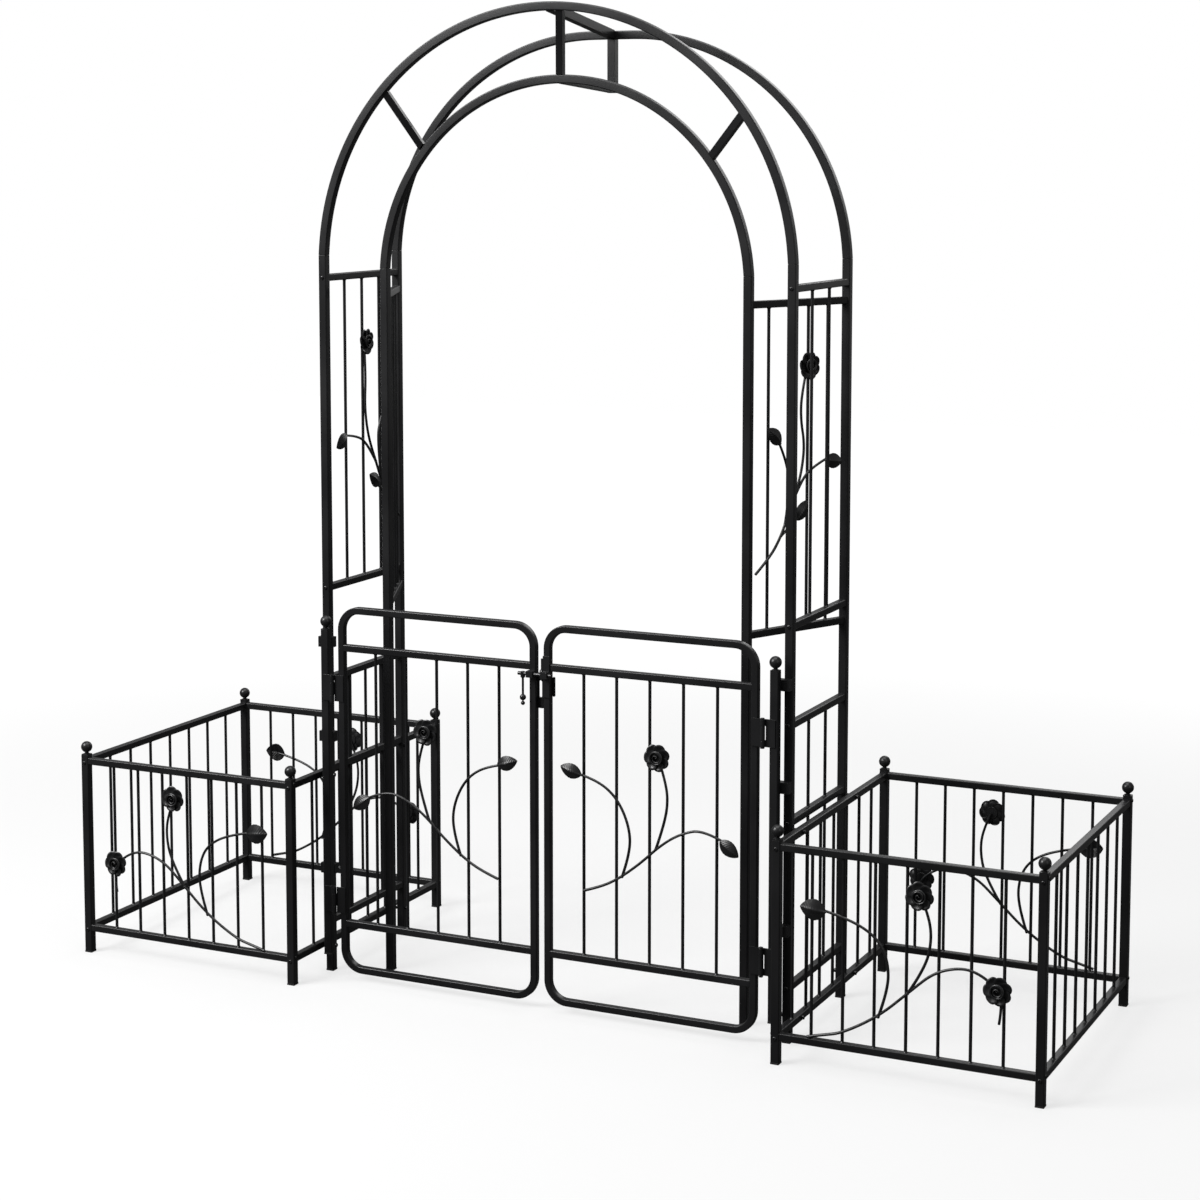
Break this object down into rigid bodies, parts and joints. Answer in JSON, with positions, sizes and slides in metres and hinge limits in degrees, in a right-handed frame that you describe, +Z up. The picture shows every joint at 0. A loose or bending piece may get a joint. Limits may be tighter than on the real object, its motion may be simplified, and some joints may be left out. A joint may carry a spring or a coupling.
{
  "type": "garden arch with gate",
  "caption": "Round-topped steel garden arch with a double gate, a sliding latch, side trellises with flower work and an open planter frame at each side.",
  "frame": {"origin": "on the ground, in the middle of the whole object's width and depth", "axes": "+X across the arch to the right as seen from the gate side, +Y from the gate side to the back, +Z up"},
  "size_m": [2.343, 0.7198, 2.2159],
  "materials": {
    "powder_coat": "satin black powder coat on welded steel tube and rod",
    "flower_work": "satin black powder coat on rod stems and pressed sheet roses and leaves",
    "fasteners": "black coated steel screws, bolts and pins",
    "foot_plugs": "moulded black polyethylene"
  },
  "bodies": {
    "frame": {"front_arch": "powder_coat", "back_arch": "powder_coat", "inner_arch": "powder_coat", "front_post_left": "powder_coat", "front_post_right": "powder_coat", "back_post_left": "powder_coat", "back_post_right": "powder_coat", "inner_post_left": "powder_coat", "inner_post_right": "powder_coat", "arch_spacers": "powder_coat", "apex_bars": "powder_coat", "side_trellis_left": "powder_coat", "side_trellis_right": "powder_coat", "side_panel_left": "powder_coat", "side_panel_right": "powder_coat", "inner_trellis_left": "powder_coat", "inner_trellis_right": "powder_coat", "gate_post_left": "powder_coat", "gate_post_right": "powder_coat", "gate_post_brackets": "powder_coat", "hinge_brackets_left": "powder_coat", "hinge_brackets_right": "powder_coat", "planter_posts_left": "powder_coat", "planter_posts_right": "powder_coat", "planter_front_left": "powder_coat", "planter_back_left": "powder_coat", "planter_outer_left": "powder_coat", "planter_inner_left": "powder_coat", "planter_front_right": "powder_coat", "planter_back_right": "powder_coat", "planter_outer_right": "powder_coat", "planter_inner_right": "powder_coat", "planter_vines_left": "flower_work", "planter_flowers_left": "flower_work", "trellis_vine_left": "flower_work", "trellis_flowers_left": "flower_work", "planter_vines_right": "flower_work", "planter_flowers_right": "flower_work", "trellis_vine_right": "flower_work", "trellis_flowers_right": "flower_work", "panel_screws": "fasteners", "planter_bolts": "fasteners", "hinge_pins": "fasteners", "planter_finials": "powder_coat", "gate_post_finials": "powder_coat", "foot_plugs": "foot_plugs"},
    "gate_left": {"gate_frame_left": "powder_coat", "gate_infill_left": "powder_coat", "gate_vine_left": "flower_work", "gate_flowers_left": "flower_work", "hinge_straps_left": "powder_coat", "latch_guide": "powder_coat"},
    "gate_right": {"gate_frame_right": "powder_coat", "gate_infill_right": "powder_coat", "gate_vine_right": "flower_work", "gate_flowers_right": "flower_work", "hinge_straps_right": "powder_coat", "latch_keeper": "powder_coat"},
    "latch": {"latch_bolt": "fasteners"}
  },
  "joints": [
    {"name": "gate_left_swing", "type": "hinge", "parent": "frame", "child": "gate_left", "pos_m": [-0.52725, -0.26, 0.433], "axis": [0, 0, -1], "range_deg": [0, 100]},
    {"name": "gate_right_swing", "type": "hinge", "parent": "frame", "child": "gate_right", "pos_m": [0.52725, -0.26, 0.433], "axis": [0, 0, 1], "range_deg": [0, 100]},
    {"name": "latch_slide", "type": "slide", "parent": "gate_left", "child": "latch", "axis": [-1, 0, 0], "range_m": [0, 0.045]}
  ]
}
